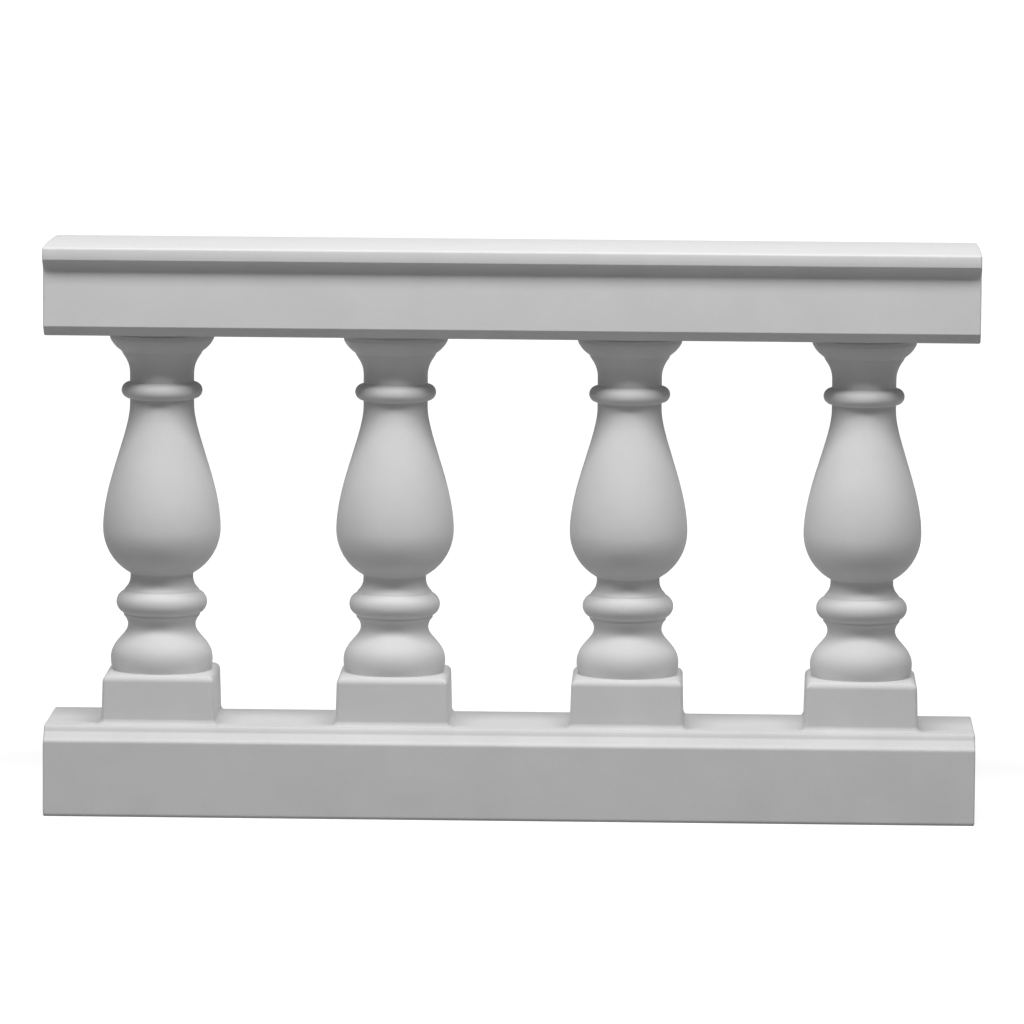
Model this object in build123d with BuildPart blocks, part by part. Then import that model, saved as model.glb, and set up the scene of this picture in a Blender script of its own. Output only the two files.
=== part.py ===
import os

from build123d import *

os.makedirs("parts", exist_ok=True)

# One bay of a cast stone balustrade, in millimetres.
# X runs along the rails, the front faces -Y, and Z is up from the floor.
# The origin is the middle of the bottom rail's underside.

# The bay: evenly spaced balusters between two rails of one length
baluster_count = 4
baluster_pitch = 375.0
bay_joint = 12.0
balustrade_height = 915.0
bed_thickness = 4.0
end_chamfer = 3.0
end_chamfer_angle = 45.0
rail_length = baluster_count * baluster_pitch - bay_joint

# Bottom rail: a plain block with a weathered, stepped shoulder on both sides
bottom_depth = 246.0
bottom_face_height = 119.0
bottom_base_round = 5.0
brow_round = 6.0
slope_run = 11.0
slope_rise = 8.5
riser_height = 4.5
shoulder_round = 7.0
bottom_height = bottom_face_height + brow_round + slope_rise + riser_height + shoulder_round

# Top rail: a crowned top and swelled nosing over a hollow, a tall plain face and a cut-back foot
top_depth = 256.0
crown_height = 4.5
nosing_height = 18.0
nosing_round = 4.5
nosing_swell = 1.5
hollow_height = 21.5
hollow_reach = 16.0
fascia_height = 85.5
chamfer_height = 15.5
chamfer_run = 14.0
top_height = chamfer_height + fascia_height + hollow_height + nosing_height + crown_height

# Baluster plinth: a square block with a little draft and soft edges
plinth_width = 181.0
plinth_height = 75.0
plinth_draft = 1.5
plinth_corner = 6.0
plinth_round = 11.0

# Foot of the turned shaft: a full bell, turned under at the plinth, and the hollow above it
foot_r = 79.0
bell_r = 82.0
bell_rise = 18.0
bell_lead_height = 29.0
hollow_r = 54.5
hollow_rise = 54.5
hollow_lead_height = 17.5

# Knop: a round bead between two fillets
lower_fillet_r = 61.5
lower_flare = 15.0
lower_fillet_height = 4.0
knop_r = 73.0
knop_height = 36.0
upper_fillet_r = 60.0
upper_fillet_height = 2.5
upper_flare = 20.0

# Vase: a short waist, the round belly and the long taper to the neck
waist_r = 50.5
waist_height = 6.0
belly_r = 94.5
belly_rise = 73.5
belly_lead_height = 71.0
neck_r = 51.5
neck_height = 10.0
neck_lead_height = 46.0

# Collar and capital
collar_r = 65.0
collar_height = 26.0
throat_r = 51.5
throat_height = 13.5
cavetto_r = 64.5
cavetto_rise = 36.0
cavetto_foot_lead_height = 22.5
cavetto_lip_lead_height = 5.0
capital_step_r = 67.5
capital_step_height = 2.5
capital_waist_r = 79.5
capital_waist_rise = 12.0
capital_r = 83.5
capital_rise = 7.0
capital_rim_height = 7.0

# Mortar: pointed out round each plinth, and drawn back under the top rail
pointing_width = 8.5
pointing_rim_width = 1.0
upper_bed_recess = 1.5

# Levels in the bay
lower_bed_level = bottom_height
baluster_level = lower_bed_level + bed_thickness
top_rail_level = balustrade_height - top_height
upper_bed_level = top_rail_level - bed_thickness

# Heights up the baluster from its own underside: the foot, the knop and the belly
bell_level = plinth_height + bell_rise
hollow_level = bell_level + hollow_rise
lower_fillet_level = hollow_level + lower_flare
knop_bottom = lower_fillet_level + lower_fillet_height
knop_top = knop_bottom + knop_height
upper_flare_level = knop_top + upper_fillet_height
waist_level = upper_flare_level + upper_flare
waist_top = waist_level + waist_height
belly_level = waist_top + belly_rise

# Heights down from the baluster's top: the capital and the collar, with the taper taking what is left
baluster_height = upper_bed_level - baluster_level
rim_level = baluster_height - capital_rim_height
capital_waist_level = rim_level - capital_rise
step_top = capital_waist_level - capital_waist_rise
cavetto_top = step_top - capital_step_height
throat_top = cavetto_top - cavetto_rise
collar_top = throat_top - throat_height
collar_bottom = collar_top - collar_height
neck_level = collar_bottom - neck_height


def vertical_ogee(start, end, start_lead, end_lead):
    """An S-curve that leaves one radius upright and comes upright to the next."""
    return Bezier(
        start,
        (start[0], start[1] + start_lead),
        (end[0], end[1] - end_lead),
        end,
    )


def shaft_outline():
    """Half section of the turned shaft: radius across, height up."""
    shaft_start = plinth_height - plinth_round
    Polyline((0, shaft_start), (foot_r, shaft_start), (foot_r, plinth_height))
    TangentArc((bell_r, bell_level), (foot_r, plinth_height), tangent=(0, -1))
    vertical_ogee((bell_r, bell_level), (hollow_r, hollow_level), bell_lead_height, hollow_lead_height)
    TangentArc((hollow_r, hollow_level), (lower_fillet_r, lower_fillet_level), tangent=(0, 1))
    Line((lower_fillet_r, lower_fillet_level), (lower_fillet_r, knop_bottom))
    ThreePointArc(
        (lower_fillet_r, knop_bottom),
        (knop_r, (knop_bottom + knop_top) / 2),
        (upper_fillet_r, knop_top),
    )
    Line((upper_fillet_r, knop_top), (upper_fillet_r, upper_flare_level))
    TangentArc((waist_r, waist_level), (upper_fillet_r, upper_flare_level), tangent=(0, -1))
    Line((waist_r, waist_level), (waist_r, waist_top))
    TangentArc((belly_r, belly_level), (waist_r, waist_top), tangent=(0, -1))
    vertical_ogee((belly_r, belly_level), (neck_r, neck_level), belly_lead_height, neck_lead_height)
    Line((neck_r, neck_level), (neck_r, collar_bottom))
    ThreePointArc(
        (neck_r, collar_bottom),
        (collar_r, (collar_bottom + collar_top) / 2),
        (throat_r, collar_top),
    )
    Line((throat_r, collar_top), (throat_r, throat_top))
    vertical_ogee(
        (throat_r, throat_top),
        (cavetto_r, cavetto_top),
        cavetto_foot_lead_height,
        cavetto_lip_lead_height,
    )
    Line((cavetto_r, cavetto_top), (capital_step_r, step_top))
    ThreePointArc(
        (capital_step_r, step_top),
        (capital_waist_r, capital_waist_level),
        (capital_r, rim_level),
    )
    Polyline((capital_r, rim_level), (capital_r, baluster_height), (0, baluster_height))
    Line((0, baluster_height), (0, shaft_start))


def half_bottom_section():
    """Right half of the bottom rail's section: depth across, height up."""
    half = bottom_depth / 2
    brow = bottom_face_height + brow_round
    ledge = half - brow_round - slope_run
    riser_foot = brow + slope_rise
    riser_top = riser_foot + riser_height
    Line((0, 0), (half - bottom_base_round, 0))
    TangentArc((half - bottom_base_round, 0), (half, bottom_base_round), tangent=(1, 0))
    Line((half, bottom_base_round), (half, bottom_face_height))
    TangentArc((half, bottom_face_height), (half - brow_round, brow), tangent=(0, 1))
    Line((half - brow_round, brow), (ledge, riser_foot))
    Line((ledge, riser_foot), (ledge, riser_top))
    TangentArc((ledge, riser_top), (ledge - shoulder_round, bottom_height), tangent=(0, 1))
    Line((ledge - shoulder_round, bottom_height), (0, bottom_height))
    Line((0, bottom_height), (0, 0))


def half_top_section():
    """Right half of the top rail's section: depth across, height up."""
    half = top_depth / 2
    face = half - hollow_reach
    lip = half - nosing_swell
    hollow_foot = chamfer_height + fascia_height
    hollow_top = hollow_foot + hollow_height
    nosing_top = hollow_top + nosing_height
    swell_top = nosing_top - nosing_round
    Line((0, 0), (face - chamfer_run, 0))
    Line((face - chamfer_run, 0), (face, chamfer_height))
    Line((face, chamfer_height), (face, hollow_foot))
    TangentArc((face, hollow_foot), (lip, hollow_top), tangent=(0, 1))
    swell = ThreePointArc((lip, hollow_top), (half, (hollow_top + swell_top) / 2), (lip, swell_top))
    arris = TangentArc(swell @ 1, (lip - nosing_round, nosing_top), tangent=swell % 1)
    TangentArc((0, top_height), arris @ 1, tangent=(1, 0))
    Line((0, top_height), (0, 0))


def plinth_outline(plane):
    """The plinth's square foot, with softened corners."""
    with BuildSketch(plane) as outline:
        RectangleRounded(plinth_width, plinth_width, plinth_corner)
    return outline.sketch


def straight_rail(level, half_section):
    """A moulded rail of the bay's full length: one half section, mirrored, run along X with eased ends."""
    with BuildPart() as rail:
        with BuildSketch(Plane((0, 0, level), x_dir=(0, 1, 0), z_dir=(1, 0, 0))):
            with BuildLine():
                half_section()
            make_face()
            mirror(about=Plane.YZ)
        extrude(amount=rail_length / 2 - end_chamfer, both=True)
        for end in rail.faces().filter_by(Axis.X):
            extrude(end, amount=end_chamfer, taper=end_chamfer_angle)
    return rail.part


def turned_baluster(x):
    """A baluster standing at x: square plinth and turned shaft in one casting."""
    foot = Plane((x, 0, baluster_level))
    front = Plane(foot.origin, x_dir=(1, 0, 0), z_dir=(0, -1, 0))
    with BuildPart() as baluster:
        extrude(plinth_outline(foot), amount=plinth_height, taper=plinth_draft)
        fillet(baluster.edges().group_by(Axis.Z)[-1], plinth_round)
        with BuildSketch(front):
            with BuildLine():
                shaft_outline()
            make_face()
        revolve(axis=Axis(foot.origin, (0, 0, 1)))
    return baluster.part


def lower_bed(x):
    """The mortar under a plinth, with a coved pointing that runs up round its foot."""
    foot = Plane((x, 0, baluster_level))
    spread = plinth_width + 2 * pointing_width
    with BuildPart() as bed:
        with BuildSketch(Plane((x, 0, lower_bed_level))):
            RectangleRounded(spread, spread, plinth_corner + pointing_width)
        extrude(amount=bed_thickness)
        pad_rim = bed.edges().group_by(Axis.Z)[-1]
        extrude(plinth_outline(foot), amount=plinth_height, taper=plinth_draft)
        creases = bed.edges().filter_by_position(Axis.Z, baluster_level, baluster_level) - pad_rim
        fillet(creases, pointing_width - pointing_rim_width)
        extrude(plinth_outline(foot), amount=plinth_height, taper=plinth_draft, mode=Mode.SUBTRACT)
    return bed.part


def upper_bed(x):
    """The thin round mortar bed between a capital and the top rail."""
    with BuildPart() as bed:
        with BuildSketch(Plane((x, 0, upper_bed_level))):
            Circle(capital_r - upper_bed_recess)
        extrude(amount=bed_thickness)
    return bed.part


def save(piece, node):
    piece.label = node
    export_step(piece, f"parts/{node}.step")


save(straight_rail(0, half_bottom_section), "bottom_rail")
save(straight_rail(top_rail_level, half_top_section), "top_rail")

first_x = -(baluster_count - 1) * baluster_pitch / 2
for number in range(1, baluster_count + 1):
    x = first_x + (number - 1) * baluster_pitch
    save(turned_baluster(x), f"baluster_{number}")
    save(lower_bed(x), f"lower_bed_{number}")
    save(upper_bed(x), f"upper_bed_{number}")
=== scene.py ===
from math import acos, cos, hypot, pi, radians, sin, tan

import bpy
from mathutils import Matrix, Vector


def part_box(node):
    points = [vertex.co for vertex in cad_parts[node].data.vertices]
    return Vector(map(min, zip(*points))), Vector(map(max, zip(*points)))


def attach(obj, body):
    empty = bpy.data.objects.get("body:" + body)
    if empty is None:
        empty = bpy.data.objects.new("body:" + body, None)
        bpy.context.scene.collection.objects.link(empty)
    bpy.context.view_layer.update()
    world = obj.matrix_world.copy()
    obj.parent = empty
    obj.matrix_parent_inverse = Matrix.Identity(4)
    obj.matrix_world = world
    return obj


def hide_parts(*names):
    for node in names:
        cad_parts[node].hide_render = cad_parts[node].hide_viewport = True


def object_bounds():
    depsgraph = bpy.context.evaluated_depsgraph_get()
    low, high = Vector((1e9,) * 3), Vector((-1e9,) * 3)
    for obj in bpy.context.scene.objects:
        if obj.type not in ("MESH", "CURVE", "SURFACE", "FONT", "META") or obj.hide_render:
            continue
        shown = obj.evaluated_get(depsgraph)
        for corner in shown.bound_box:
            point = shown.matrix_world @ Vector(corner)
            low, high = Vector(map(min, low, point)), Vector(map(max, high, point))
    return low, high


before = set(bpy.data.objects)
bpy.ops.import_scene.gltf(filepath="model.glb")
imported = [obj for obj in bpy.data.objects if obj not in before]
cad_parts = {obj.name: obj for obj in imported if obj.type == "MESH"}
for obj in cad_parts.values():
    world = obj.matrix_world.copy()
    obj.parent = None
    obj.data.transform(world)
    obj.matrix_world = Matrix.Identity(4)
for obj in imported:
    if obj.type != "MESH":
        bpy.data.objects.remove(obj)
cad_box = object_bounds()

mm = 0.001
scene = bpy.context.scene
scene.view_settings.view_transform = "Standard"

# The photograph's viewpoint: a long lens, a little above the top rail and to the right of the middle
view_point = Vector((0.317, -11.922, 1.885))
view_turn = radians(1.522)
view_drop = radians(6.705)
view_roll = radians(0.383)
focal_px = 7482.0
photo_px = 1024.0
sensor_mm = 36.0

# Where the castings stand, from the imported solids
numbers = (1, 2, 3, 4)
rail_half = cad_box[1][0]
baluster_boxes = [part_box(f"baluster_{number}") for number in numbers]
baluster_middles = [(low[0] + high[0]) / 2 for low, high in baluster_boxes]
baluster_foot = baluster_boxes[0][0][2]
baluster_head = baluster_boxes[0][1][2]
top_rail_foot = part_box("top_rail")[0][2]

# Bottom rail: the plain face, the weathered brow, the riser and the rounded shoulder
# The riser leans back and is shorter than in the plain solid, as the photograph shows it
bottom_half = 123 * mm
bottom_base_round = 5 * mm
bottom_face = 119 * mm
brow_round = 6 * mm
slope_run = 11 * mm
slope_rise = 10 * mm
riser_rise = 3.5 * mm
riser_run = 1.2 * mm
shoulder_rise = 6.5 * mm
shoulder_run = 4.3 * mm

# Top rail: the cut-back foot, the plain face, the hollow, the nosing and the crowned top
# The nosing is taller and flatter than in the plain solid, and the crown lower, as in the photograph
top_half = 128 * mm
chamfer_height = 15.5 * mm
chamfer_run = 14 * mm
fascia_height = 85.5 * mm
hollow_height = 21.5 * mm
hollow_reach = 16 * mm
nosing_height = 20 * mm
nosing_round = 3 * mm
nosing_swell = 0.5 * mm
crown_height = 2.5 * mm
arris_heading = (-0.2, 1)

# Plinth
plinth_half = 90.5 * mm
plinth_height = 75 * mm
plinth_draft = radians(1.5)
plinth_corner = 6 * mm
plinth_round = 11 * mm

# Turned shaft, upwards from the plinth
foot_r = 79 * mm
bell_r = 82 * mm
bell_rise = 18 * mm
bell_lead = 29 * mm
hollow_r = 54.5 * mm
hollow_rise = 54.5 * mm
hollow_lead = 17.5 * mm
lower_fillet_r = 61.5 * mm
lower_flare = 15 * mm
lower_fillet_height = 4 * mm
knop_r = 73 * mm
knop_height = 36 * mm
upper_fillet_r = 60 * mm
upper_fillet_height = 2.5 * mm
upper_flare = 20 * mm
waist_r = 50.5 * mm
waist_height = 6 * mm
belly_r = 94.5 * mm
belly_rise = 73.5 * mm
belly_lead = 71 * mm

# Turned shaft, downwards from the top
capital_r = 83.5 * mm
capital_rim = 7 * mm
capital_rise = 7 * mm
capital_waist_r = 79.5 * mm
capital_waist_rise = 12 * mm
capital_step_r = 67.5 * mm
capital_step = 2.5 * mm
cavetto_r = 64.5 * mm
cavetto_rise = 36 * mm
cavetto_foot_lead = 22.5 * mm
cavetto_lip_lead = 5 * mm
throat_r = 51.5 * mm
throat_height = 13.5 * mm
collar_r = 65 * mm
collar_height = 26 * mm
neck_r = 51.5 * mm
neck_height = 10 * mm
neck_lead = 46 * mm

# Mortar
pointing = 8.5 * mm
pointing_rim = 0.25 * mm
pointing_bite = 0.4 * mm
upper_bed_ease = 0.8 * mm

# Finish: linear greys, scales per metre and depths of relief
stone_pale = (0.665, 0.665, 0.665)
stone_deep = (0.635, 0.635, 0.635)
mortar_pale = (0.65, 0.65, 0.65)
mortar_deep = (0.61, 0.61, 0.61)
stone_sheen = 0.35
stone_roughness = 0.62
mortar_roughness = 0.75
roughness_swing = 0.05
cloud_scale = 9
cloud_detail = 3
cloud_roughness = 0.55
swell_scale = 22
swell_detail = 2
sand_scale = 900
sand_detail = 2
sand_roughness = 0.6
noise_low = 0.35
noise_high = 0.65
pinhole_scale = 70
pinhole_size = 0.06
pinhole_floor = 0.4
swell_depth = 0.4 * mm
pinhole_depth = 0.5 * mm
stone_grain = 0.12 * mm
mortar_grain = 0.25 * mm
sand_tint = 0.03

# Floor and light
floor_size = 120
floor_bounce = (0.27, 0.27, 0.27)
floor_paint = (0.45, 0.45, 0.45)
floor_glow = 0.72
shadow_reach = 1.0
shadow_end = 2.6
room_fill = 0.195
softbox_middle = (0, -1.5, 3.4)
softbox_aim = (0, -0.2, 0.5)
softbox_width = 5.0
softbox_depth = 0.9
softbox_power = 148
back_middle = (0, 1.8, 3.0)
back_aim = (0, 0.2, 0.4)
back_depth = 1.2
back_power = 14

# How finely the outlines are drawn, and how far their arrises are rubbed down
outline_step = 0.8 * mm
shaft_rub = 1.8 * mm
top_rail_rub = 1 * mm
bottom_rail_rub = 1.6 * mm
outline_error = 0.03 * mm
turning_steps = 112

# How the ends of the rails are eased, and how fine the round-overs are
end_ease = 3 * mm
ease_steps = 5
corner_segments = 6
round_steps = 12
cove_steps = 8
upper_bed_steps = 3
small_arc_pieces = 8
nosing_pieces = 12
hollow_pieces = 16
smooth_angle = radians(32)
weld = 0.01 * mm

# How squarely a face has to look along an axis to be picked, and the size of a wire's first square
squarely = 0.9
first_square = 0.1


def bend(start, end, heading, pieces=24):
    """Points on the arc that leaves start along heading and reaches end."""
    chord = Vector(end) - Vector(start)
    heading = Vector(heading).normalized()
    across = Vector((-heading.y, heading.x))
    offset = chord.dot(across)
    radius = chord.length_squared / (2 * offset)
    centre = Vector(start) + across * radius
    spoke = Vector(start) - centre
    cosine = max(-1.0, min(1.0, spoke.normalized().dot((Vector(end) - centre).normalized())))
    sweep = acos(cosine)
    if chord.dot(heading) < 0:
        sweep = 2 * pi - sweep
    if radius < 0:
        sweep = -sweep
    points = []
    for piece in range(pieces + 1):
        turned = Matrix.Rotation(sweep * piece / pieces, 2) @ spoke
        points.append(tuple(centre + turned))
    return points


def bow(start, middle, end, pieces=24):
    """Points on the arc from start through middle to end."""
    a, b, c = Vector(start), Vector(middle), Vector(end)
    ab, ac = b - a, c - a
    twice_area = 2 * (ab.x * ac.y - ab.y * ac.x)
    along = ac.y * ab.length_squared - ab.y * ac.length_squared
    up = ab.x * ac.length_squared - ac.x * ab.length_squared
    to_centre = Vector((along, up)) / twice_area
    heading = Vector((to_centre.y, -to_centre.x))
    if heading.dot(ab) < 0:
        heading = -heading
    return bend(start, end, heading, pieces)


def ogee(start, end, start_lead, end_lead, pieces=48):
    """Points on an S-curve that leaves start upright and comes upright to end."""
    first = Vector((start[0], start[1] + start_lead))
    last = Vector((end[0], end[1] - end_lead))
    points = []
    for piece in range(pieces + 1):
        t = piece / pieces
        point = (
            Vector(start) * (1 - t) ** 3
            + first * 3 * t * (1 - t) ** 2
            + last * 3 * t * t * (1 - t)
            + Vector(end) * t ** 3
        )
        points.append(tuple(point))
    return points


def evenly(outline, step):
    """The outline redrawn with points an even step apart, ends kept."""
    lengths = [0.0]
    for a, b in zip(outline, outline[1:]):
        lengths.append(lengths[-1] + hypot(b[0] - a[0], b[1] - a[1]))
    count = max(2, round(lengths[-1] / step))
    points = []
    leg = 0
    for index in range(count + 1):
        target = lengths[-1] * index / count
        while leg < len(lengths) - 2 and lengths[leg + 1] < target:
            leg += 1
        span = lengths[leg + 1] - lengths[leg]
        share = (target - lengths[leg]) / span if span else 0.0
        a, b = outline[leg], outline[leg + 1]
        points.append((a[0] + (b[0] - a[0]) * share, a[1] + (b[1] - a[1]) * share))
    return points


def rubbed(outline, reach):
    """The outline with its arrises softened, as a casting comes from its mould.

    Each point moves to the mean of those around it, as far as reach to either side.
    """
    points = evenly(outline, outline_step)
    span = max(1, round(reach / outline_step))
    softened = []
    for index in range(len(points)):
        near = min(span, index, len(points) - 1 - index)
        around = points[index - near:index + near + 1]
        softened.append(tuple(sum(p[axis] for p in around) / len(around) for axis in (0, 1)))
    return thinned(softened)


def thinned(points, error=outline_error):
    """The same outline with only the points that its shape needs."""
    kept = [0]
    end = 2
    while end < len(points):
        a, b = Vector(points[kept[-1]]), Vector(points[end])
        line = (b - a).normalized()
        strayed = 0.0
        for index in range(kept[-1] + 1, end):
            leg = Vector(points[index]) - a
            strayed = max(strayed, abs(line.x * leg.y - line.y * leg.x))
        if strayed > error:
            kept.append(end - 1)
        end += 1
    kept.append(len(points) - 1)
    return [points[index] for index in kept]


def shaft_outline():
    """Radius and height of the turned shaft, from inside the plinth to the bed under the rail."""
    head = baluster_head - baluster_foot
    bell = plinth_height + bell_rise
    hollow = bell + hollow_rise
    fillet = hollow + lower_flare
    knop_foot = fillet + lower_fillet_height
    knop_head = knop_foot + knop_height
    flare = knop_head + upper_fillet_height
    waist = flare + upper_flare
    waist_head = waist + waist_height
    belly = waist_head + belly_rise
    rim = head - capital_rim
    capital_waist = rim - capital_rise
    step = capital_waist - capital_waist_rise
    cavetto = step - capital_step
    throat = cavetto - cavetto_rise
    collar_head = throat - throat_height
    collar_foot = collar_head - collar_height
    neck = collar_foot - neck_height
    outline = [(foot_r, plinth_height - plinth_round), (foot_r, plinth_height)]
    outline += bend((bell_r, bell), (foot_r, plinth_height), (0, -1))[::-1]
    outline += ogee((bell_r, bell), (hollow_r, hollow), bell_lead, hollow_lead)
    outline += bend((hollow_r, hollow), (lower_fillet_r, fillet), (0, 1))
    knop_middle = (knop_foot + knop_head) / 2
    outline += bow((lower_fillet_r, knop_foot), (knop_r, knop_middle), (upper_fillet_r, knop_head))
    outline += bend((waist_r, waist), (upper_fillet_r, flare), (0, -1))[::-1]
    outline += bend((belly_r, belly), (waist_r, waist_head), (0, -1))[::-1]
    outline += ogee((belly_r, belly), (neck_r, neck), belly_lead, neck_lead)
    collar_middle = (collar_foot + collar_head) / 2
    outline += bow((neck_r, collar_foot), (collar_r, collar_middle), (throat_r, collar_head))
    outline += ogee((throat_r, throat), (cavetto_r, cavetto), cavetto_foot_lead, cavetto_lip_lead)
    outline += bow((capital_step_r, step), (capital_waist_r, capital_waist), (capital_r, rim))
    outline.append((capital_r, head))
    return rubbed(outline, shaft_rub)


def bottom_half_section():
    """Depth and height of the bottom rail's right half, from the middle of its underside to its top."""
    brow = bottom_face + brow_round
    ledge = bottom_half - brow_round - slope_run
    shoulder = ledge - riser_run
    riser_head = brow + slope_rise + riser_rise
    top = riser_head + shoulder_rise
    outline = [(0, 0)]
    base = bottom_half - bottom_base_round
    leaning = (-riser_run, riser_rise)
    pieces = small_arc_pieces
    outline += bend((base, 0), (bottom_half, bottom_base_round), (1, 0), pieces)
    outline += bend((bottom_half, bottom_face), (bottom_half - brow_round, brow), (0, 1), pieces)
    outline.append((ledge, brow + slope_rise))
    outline += bend((shoulder, riser_head), (shoulder - shoulder_run, top), leaning, pieces)
    outline.append((0, top))
    return rubbed(outline, bottom_rail_rub)


def top_half_section():
    """Depth and height of the top rail's right half, from the middle of its underside to its crown."""
    face = top_half - hollow_reach
    lip = top_half - nosing_swell
    hollow_foot = chamfer_height + fascia_height
    hollow_head = hollow_foot + hollow_height
    nosing_head = hollow_head + nosing_height
    swell_head = nosing_head - nosing_round
    outline = [(0, 0), (face - chamfer_run, 0), (face, chamfer_height)]
    swell = (top_half, (hollow_head + swell_head) / 2)
    arris = (lip - nosing_round, nosing_head)
    outline += bend((face, hollow_foot), (lip, hollow_head), (0, 1), hollow_pieces)
    outline += bow((lip, hollow_head), swell, (lip, swell_head), nosing_pieces)
    outline += bend((lip, swell_head), arris, arris_heading, small_arc_pieces)
    outline += bend((0, nosing_head + crown_height), arris, (1, 0))[::-1]
    return rubbed(outline, top_rail_rub)


def deselect():
    bpy.ops.object.select_all(action="DESELECT")


def select_only(*pieces):
    deselect()
    for piece in pieces:
        piece.select_set(True)
    bpy.context.view_layer.objects.active = pieces[0]


def named(name):
    """The object just added, under its own name."""
    piece = bpy.context.object
    piece.name = name
    piece.data.name = name
    return piece


def start_editing(mode="FACE"):
    bpy.ops.object.mode_set(mode="EDIT")
    bpy.ops.mesh.select_mode(type=mode)


def stop_editing():
    bpy.ops.object.mode_set(mode="OBJECT")


def pick_edges(piece, wanted):
    """Selects the edges whose two ends satisfy wanted; called and left in edit mode."""
    bpy.ops.mesh.select_mode(type="EDGE")
    bpy.ops.mesh.select_all(action="DESELECT")
    stop_editing()
    points = piece.data.vertices
    for edge in piece.data.edges:
        edge.select = wanted(*(points[end].co for end in edge.vertices))
    bpy.ops.object.mode_set(mode="EDIT")


def pick_faces(piece, wanted):
    """Selects the faces whose middle and normal satisfy wanted; called and left in edit mode."""
    bpy.ops.mesh.select_mode(type="FACE")
    bpy.ops.mesh.select_all(action="DESELECT")
    stop_editing()
    for face in piece.data.polygons:
        face.select = wanted(face.center, face.normal)
    bpy.ops.object.mode_set(mode="EDIT")


def finish_mesh(piece):
    """Welds the seams, turns the normals outwards and shades the curved faces smoothly."""
    select_only(piece)
    start_editing()
    bpy.ops.mesh.select_all(action="SELECT")
    bpy.ops.mesh.remove_doubles(threshold=weld)
    bpy.ops.mesh.normals_make_consistent(inside=False)
    stop_editing()
    bpy.ops.object.shade_smooth_by_angle(angle=smooth_angle)
    shading = piece.modifiers.new("even_shading", "WEIGHTED_NORMAL")
    shading.keep_sharp = True
    bpy.ops.object.modifier_apply(modifier=shading.name)
    return piece


def draw_outline(name, path):
    """A wire through the points of path, drawn from a single vertex; left in edit mode."""
    deselect()
    bpy.ops.mesh.primitive_plane_add(size=first_square, location=(0, 0, 0))
    piece = named(name)
    start_editing("VERT")
    bpy.ops.mesh.merge(type="CENTER")
    bpy.ops.transform.translate(value=path[0])
    for here, there in zip(path, path[1:]):
        step = Vector(there) - Vector(here)
        bpy.ops.mesh.extrude_region_move(TRANSFORM_OT_translate={"value": step})
    return piece


def step_out(move, scale, centre):
    """Extrudes what is selected by move, and draws it in about centre by scale."""
    bpy.ops.mesh.extrude_region_move(TRANSFORM_OT_translate={"value": move})
    bpy.ops.transform.resize(value=scale, center_override=centre)


def turned_shaft(name):
    """The turned shaft, spun from its outline, with its two ends closed."""
    path = [(r, 0, baluster_foot + z) for r, z in shaft_outline()]
    foot = (0, 0, path[0][2])
    head = (0, 0, path[-1][2])
    piece = draw_outline(name, [foot] + path + [head])
    bpy.ops.mesh.select_all(action="SELECT")
    bpy.ops.mesh.spin(
        steps=turning_steps,
        angle=2 * pi,
        center=foot,
        axis=(0, 0, 1),
        use_auto_merge=True,
    )
    stop_editing()
    return finish_mesh(piece)


def square_block(name, half, foot, height, corner):
    """A square block with rounded upright corners, left in edit mode."""
    deselect()
    middle = (0, 0, foot + height / 2)
    bpy.ops.mesh.primitive_cube_add(size=1, location=middle, scale=(2 * half, 2 * half, height))
    piece = named(name)
    bpy.ops.object.transform_apply(location=True, rotation=True, scale=True)
    start_editing("EDGE")
    pick_edges(piece, lambda a, b: abs(a.z - b.z) > height / 2)
    bpy.ops.mesh.bevel(offset=corner, segments=corner_segments, affect="EDGES")
    return piece


def plinth(name):
    """The square plinth: a drafted block, and its top edge rolled over to a flat."""
    side = plinth_height - plinth_round
    shoulder = baluster_foot + side
    piece = square_block(name, plinth_half, baluster_foot, side, plinth_corner)
    pick_faces(piece, lambda middle, normal: normal.z > squarely)
    half = plinth_half - side * tan(plinth_draft)
    draft = half / plinth_half
    bpy.ops.transform.resize(value=(draft, draft, 1), center_override=(0, 0, shoulder))
    level = shoulder
    for step in range(round_steps):
        before, after = (pi / 2 * (step + share) / round_steps for share in (0, 1))
        rise = plinth_round * (sin(after) - sin(before))
        level += rise
        drawn_in = half - plinth_round * (cos(before) - cos(after))
        step_out((0, 0, rise), (drawn_in / half, drawn_in / half, 1), (0, 0, level))
        half = drawn_in
    stop_editing()
    return finish_mesh(piece)


def baluster(name):
    """One baluster, plinth and shaft cast together, standing on the bay's middle."""
    shaft = turned_shaft(f"{name}_shaft")
    piece = plinth(name)
    select_only(piece)
    union = piece.modifiers.new("union", "BOOLEAN")
    union.operation = "UNION"
    union.solver = "EXACT"
    union.object = shaft
    bpy.ops.object.modifier_apply(modifier=union.name)
    bpy.data.objects.remove(shaft)
    return finish_mesh(piece)


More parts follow.
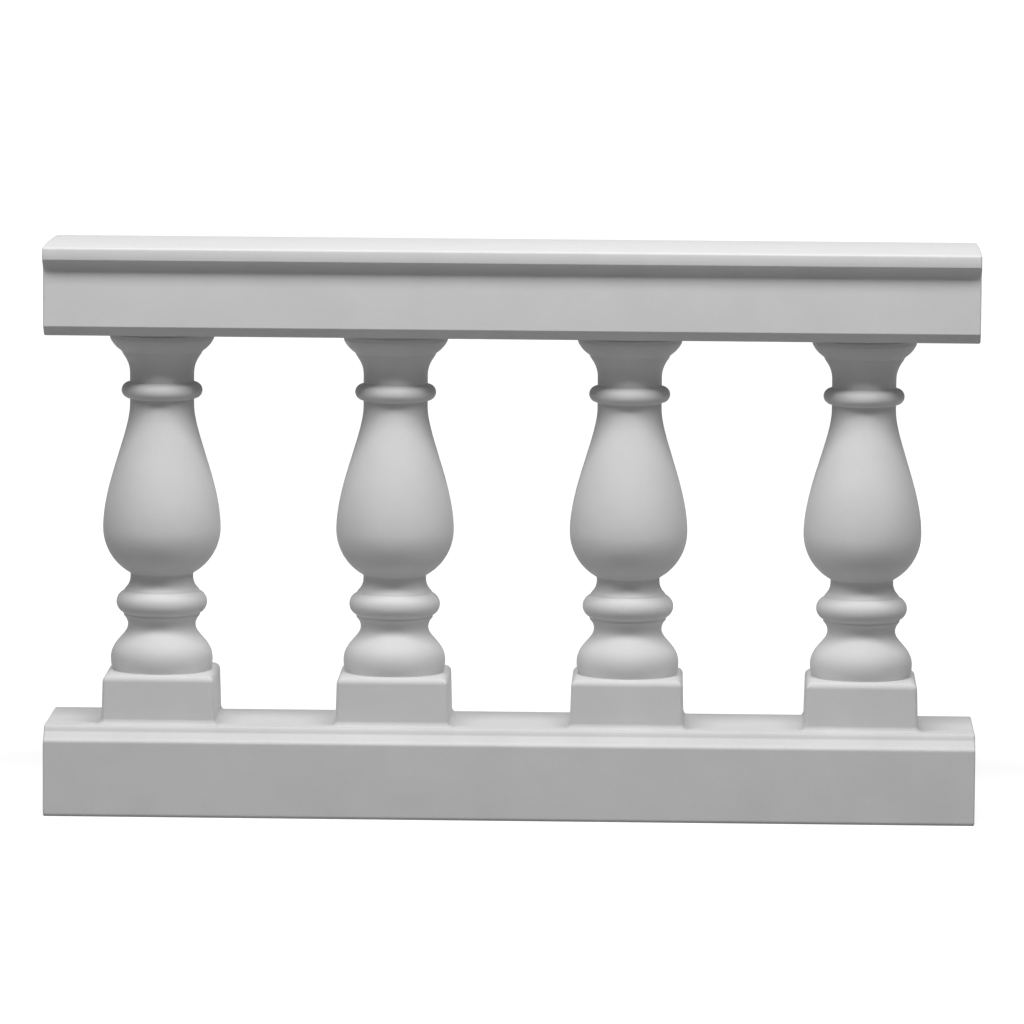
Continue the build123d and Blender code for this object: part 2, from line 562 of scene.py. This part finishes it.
def straight_rail(name, half_section, foot):
    """A rail: its section run along X, with both ends eased over."""
    start = end_ease - rail_half
    middle = foot + max(z for y, z in half_section) / 2
    half_depth = max(y for y, z in half_section)
    half_height = middle - foot
    right = [(start, y, foot + z) for y, z in half_section]
    left = [(start, -y, foot + z) for y, z in half_section[-2:0:-1]]
    piece = draw_outline(name, right + left + right[:1])
    bpy.ops.mesh.select_all(action="SELECT")
    bpy.ops.mesh.remove_doubles(threshold=weld)
    bpy.ops.mesh.edge_face_add()
    bpy.ops.mesh.extrude_region_move(TRANSFORM_OT_translate={"value": (-2 * start, 0, 0)})
    for side in (1, -1):
        pick_faces(piece, lambda face, normal: face.x * side > 0 and abs(normal.x) > squarely)
        reach = -start
        drawn = 0.0
        for step in range(ease_steps):
            before, after = (pi / 2 * (step + share) / ease_steps for share in (0, 1))
            out = end_ease * (sin(after) - sin(before))
            reach += out
            deeper = drawn + end_ease * (cos(before) - cos(after))
            across = (half_depth - deeper) / (half_depth - drawn)
            upward = (half_height - deeper) / (half_height - drawn)
            step_out((side * out, 0, 0), (1, across, upward), (side * reach, 0, middle))
            drawn = deeper
    stop_editing()
    return finish_mesh(piece)


def lower_bed(name):
    """The bed under a plinth, pointed up round its foot in a smooth cove."""
    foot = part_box("lower_bed_1")[0][2]
    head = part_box("lower_bed_1")[1][2]
    spread = plinth_half + pointing
    against = plinth_half - pointing_bite
    rim = pointing_rim
    piece = square_block(name, spread, foot, rim, plinth_corner + pointing)
    pick_faces(piece, lambda middle, normal: normal.z > squarely)
    reach, climb = spread - against, head - foot - rim
    for step in range(cove_steps):
        before, after = (pi / 2 * (step + share) / cove_steps for share in (0, 1))
        inward = reach * (sin(after) - sin(before))
        bpy.ops.mesh.inset(thickness=inward, depth=climb * (cos(before) - cos(after)))
    bpy.ops.mesh.inset(thickness=pointing_bite, depth=0)
    bpy.ops.mesh.extrude_region_move(TRANSFORM_OT_translate={"value": (0, 0, baluster_foot - head)})
    stop_editing()
    return finish_mesh(piece)


def upper_bed(name):
    """The thin round bed between a capital and the top rail, struck off inside the capital's rim."""
    low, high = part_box("upper_bed_1")
    deselect()
    bpy.ops.mesh.primitive_cylinder_add(
        vertices=turning_steps,
        radius=(high[0] - low[0]) / 2,
        depth=high[2] - low[2],
        location=(0, 0, (low[2] + high[2]) / 2),
    )
    piece = named(name)
    bpy.ops.object.transform_apply(location=True, rotation=True, scale=True)
    start_editing("EDGE")
    pick_edges(piece, lambda a, b: abs(a.z - b.z) < weld and hypot(a.x, a.y) > capital_step_r)
    bpy.ops.mesh.bevel(offset=upper_bed_ease, segments=upper_bed_steps, affect="EDGES")
    stop_editing()
    return finish_mesh(piece)


def set_along(first, nodes):
    """Copies of the first piece, one for each node, each moved to its own baluster's middle."""
    pieces = [first]
    for node in nodes[1:]:
        select_only(first)
        bpy.ops.object.duplicate(linked=False)
        pieces.append(named(f"cast_{node}"))
    for piece, middle in zip(pieces, baluster_middles):
        select_only(piece)
        piece.location.x = middle
        bpy.ops.object.transform_apply(location=True, rotation=False, scale=False)
    return pieces


def stands_for(piece, node, material):
    """Fits a finished piece into the bay in place of its plain solid."""
    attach(piece, "root")
    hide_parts(node)
    piece.data.materials.clear()
    piece.data.materials.append(material)


def new_material(name):
    material = bpy.data.materials.new(name)
    material.use_nodes = True
    return material, material.node_tree.nodes, material.node_tree.links


def noise(nodes, links, place, scale, detail, roughness=0.5):
    pattern = nodes.new("ShaderNodeTexNoise")
    pattern.inputs["Scale"].default_value = scale
    pattern.inputs["Detail"].default_value = detail
    pattern.inputs["Roughness"].default_value = roughness
    links.new(place.outputs["Object"], pattern.inputs["Vector"])
    return pattern


def ranged(nodes, links, source, low, high, from_low=noise_low, from_high=noise_high):
    """The source's value, spread from low to high."""
    spread = nodes.new("ShaderNodeMapRange")
    spread.inputs["From Min"].default_value = from_low
    spread.inputs["From Max"].default_value = from_high
    spread.inputs["To Min"].default_value = low
    spread.inputs["To Max"].default_value = high
    links.new(source, spread.inputs["Value"])
    return spread.outputs["Result"]


def bump(nodes, links, height, distance, under=None):
    lifted = nodes.new("ShaderNodeBump")
    lifted.inputs["Distance"].default_value = distance
    lifted.inputs["Strength"].default_value = 1.0
    links.new(height, lifted.inputs["Height"])
    if under is not None:
        links.new(under, lifted.inputs["Normal"])
    return lifted.outputs["Normal"]


def fine_cast(name, pale, deep, grain_depth, roughness):
    """Cast stone or mortar: clouded between two greys, with a sanded grain and a few pinholes."""
    material, nodes, links = new_material(name)
    shader = nodes["Principled BSDF"]
    place = nodes.new("ShaderNodeTexCoord")
    clouds = noise(nodes, links, place, cloud_scale, cloud_detail, cloud_roughness)
    sand = noise(nodes, links, place, sand_scale, sand_detail, sand_roughness)
    swell = noise(nodes, links, place, swell_scale, swell_detail)
    cloud_share = ranged(nodes, links, clouds.outputs["Fac"], 0.0, 1.0)
    grey = nodes.new("ShaderNodeMix")
    grey.data_type = "RGBA"
    grey.inputs["A"].default_value = (*deep, 1)
    grey.inputs["B"].default_value = (*pale, 1)
    links.new(cloud_share, grey.inputs["Factor"])
    speck = ranged(nodes, links, sand.outputs["Fac"], 1 - sand_tint, 1 + sand_tint)
    tinted = nodes.new("ShaderNodeVectorMath")
    tinted.operation = "SCALE"
    links.new(grey.outputs["Result"], tinted.inputs[0])
    links.new(speck, tinted.inputs["Scale"])
    links.new(tinted.outputs["Vector"], shader.inputs["Base Color"])

    holes = nodes.new("ShaderNodeTexVoronoi")
    holes.inputs["Scale"].default_value = pinhole_scale
    links.new(place.outputs["Object"], holes.inputs["Vector"])
    bottom_size = pinhole_size * pinhole_floor
    sunk = ranged(nodes, links, holes.outputs["Distance"], 0.0, 1.0, bottom_size, pinhole_size)
    gentle = bump(nodes, links, swell.outputs["Fac"], swell_depth)
    pitted = bump(nodes, links, sunk, pinhole_depth, gentle)
    sanded = bump(nodes, links, sand.outputs["Fac"], grain_depth, pitted)
    links.new(sanded, shader.inputs["Normal"])
    dull, smooth = roughness + roughness_swing, roughness - roughness_swing
    varied = ranged(nodes, links, clouds.outputs["Fac"], dull, smooth)
    links.new(varied, shader.inputs["Roughness"])
    shader.inputs["Specular IOR Level"].default_value = stone_sheen
    return material


def floor_material():
    """A pale floor that shows white, and still takes the bay's soft shadow."""
    material, nodes, links = new_material("pale_floor")
    nodes.remove(nodes["Principled BSDF"])
    seen = nodes.new("ShaderNodeLightPath")
    direct = nodes.new("ShaderNodeMath")
    direct.operation = "MAXIMUM"
    links.new(seen.outputs["Is Camera Ray"], direct.inputs[0])
    links.new(seen.outputs["Is Glossy Ray"], direct.inputs[1])
    either = nodes.new("ShaderNodeMath")
    either.operation = "MAXIMUM"
    links.new(direct.outputs["Value"], either.inputs[0])
    links.new(seen.outputs["Is Transmission Ray"], either.inputs[1])
    place = nodes.new("ShaderNodeTexCoord")
    far = nodes.new("ShaderNodeVectorMath")
    far.operation = "LENGTH"
    links.new(place.outputs["Object"], far.inputs[0])
    glow_share = ranged(nodes, links, far.outputs["Value"], floor_glow, 1.0, shadow_reach, shadow_end)
    bounce = nodes.new("ShaderNodeBsdfDiffuse")
    bounce.inputs["Color"].default_value = (*floor_bounce, 1)
    paint = nodes.new("ShaderNodeBsdfDiffuse")
    paint.inputs["Color"].default_value = (*floor_paint, 1)
    glow = nodes.new("ShaderNodeEmission")
    shown = nodes.new("ShaderNodeAddShader")
    links.new(glow_share, glow.inputs["Strength"])
    links.new(paint.outputs["BSDF"], shown.inputs[0])
    links.new(glow.outputs["Emission"], shown.inputs[1])
    whole = nodes.new("ShaderNodeMixShader")
    links.new(either.outputs["Value"], whole.inputs["Fac"])
    links.new(bounce.outputs["BSDF"], whole.inputs[1])
    links.new(shown.outputs["Shader"], whole.inputs[2])
    links.new(whole.outputs["Shader"], nodes["Material Output"].inputs["Surface"])
    return material


def floor():
    deselect()
    bpy.ops.mesh.primitive_plane_add(size=floor_size, location=(0, 0, 0))
    ground = named("floor")
    ground.data.materials.append(floor_material())


def softbox(name, middle, aim, width, depth, power):
    """A large rectangular lamp at middle that faces aim."""
    data = bpy.data.lights.new(name, "AREA")
    data.shape = "RECTANGLE"
    data.size = width
    data.size_y = depth
    data.energy = power
    lamp = bpy.data.objects.new(name, data)
    lamp.location = middle
    lamp.rotation_euler = (Vector(aim) - Vector(middle)).to_track_quat("-Z", "Y").to_euler()
    lamp.visible_camera = False
    bpy.context.collection.objects.link(lamp)


def room_light():
    """A weak even light from all round, seen as white behind the bay."""
    world = bpy.data.worlds.new("room")
    world.use_nodes = True
    nodes, links = world.node_tree.nodes, world.node_tree.links
    seen = nodes.new("ShaderNodeLightPath")
    fill = nodes["Background"]
    fill.inputs["Color"].default_value = (1, 1, 1, 1)
    fill.inputs["Strength"].default_value = room_fill
    white = nodes.new("ShaderNodeBackground")
    white.inputs["Color"].default_value = (1, 1, 1, 1)
    white.inputs["Strength"].default_value = 1.0
    mixed = nodes.new("ShaderNodeMixShader")
    links.new(seen.outputs["Is Camera Ray"], mixed.inputs["Fac"])
    links.new(fill.outputs["Background"], mixed.inputs[1])
    links.new(white.outputs["Background"], mixed.inputs[2])
    links.new(mixed.outputs["Shader"], nodes["World Output"].inputs["Surface"])
    scene.world = world


def camera():
    """The camera that sees the bay as the photograph does."""
    data = bpy.data.cameras.new("camera")
    data.sensor_width = sensor_mm
    data.lens = focal_px / photo_px * sensor_mm
    data.dof.use_dof = False
    viewer = bpy.data.objects.new("camera", data)
    bpy.context.collection.objects.link(viewer)
    upright = Matrix.Rotation(radians(90) - view_drop, 4, "X")
    aim = Matrix.Rotation(view_turn, 4, "Z") @ upright @ Matrix.Rotation(view_roll, 4, "Z")
    viewer.matrix_world = Matrix.Translation(view_point) @ aim
    scene.camera = viewer


camera()
cast_stone = fine_cast("cast_stone", stone_pale, stone_deep, stone_grain, stone_roughness)
mortar = fine_cast("mortar", mortar_pale, mortar_deep, mortar_grain, mortar_roughness)

bottom = straight_rail("cast_bottom_rail", bottom_half_section(), 0.0)
stands_for(bottom, "bottom_rail", cast_stone)
top = straight_rail("cast_top_rail", top_half_section(), top_rail_foot)
stands_for(top, "top_rail", cast_stone)

for make, kind, material, slot in (
    (baluster, "baluster", cast_stone, "cast_stone"),
    (lower_bed, "lower_bed", mortar, "mortar"),
    (upper_bed, "upper_bed", mortar, "mortar"),
):
    nodes = [f"{kind}_{number}" for number in numbers]
    for piece, node in zip(set_along(make(f"cast_{nodes[0]}"), nodes), nodes):
        stands_for(piece, node, material)

floor()
room_light()
softbox("overhead", softbox_middle, softbox_aim, softbox_width, softbox_depth, softbox_power)
softbox("behind", back_middle, back_aim, softbox_width, back_depth, back_power)
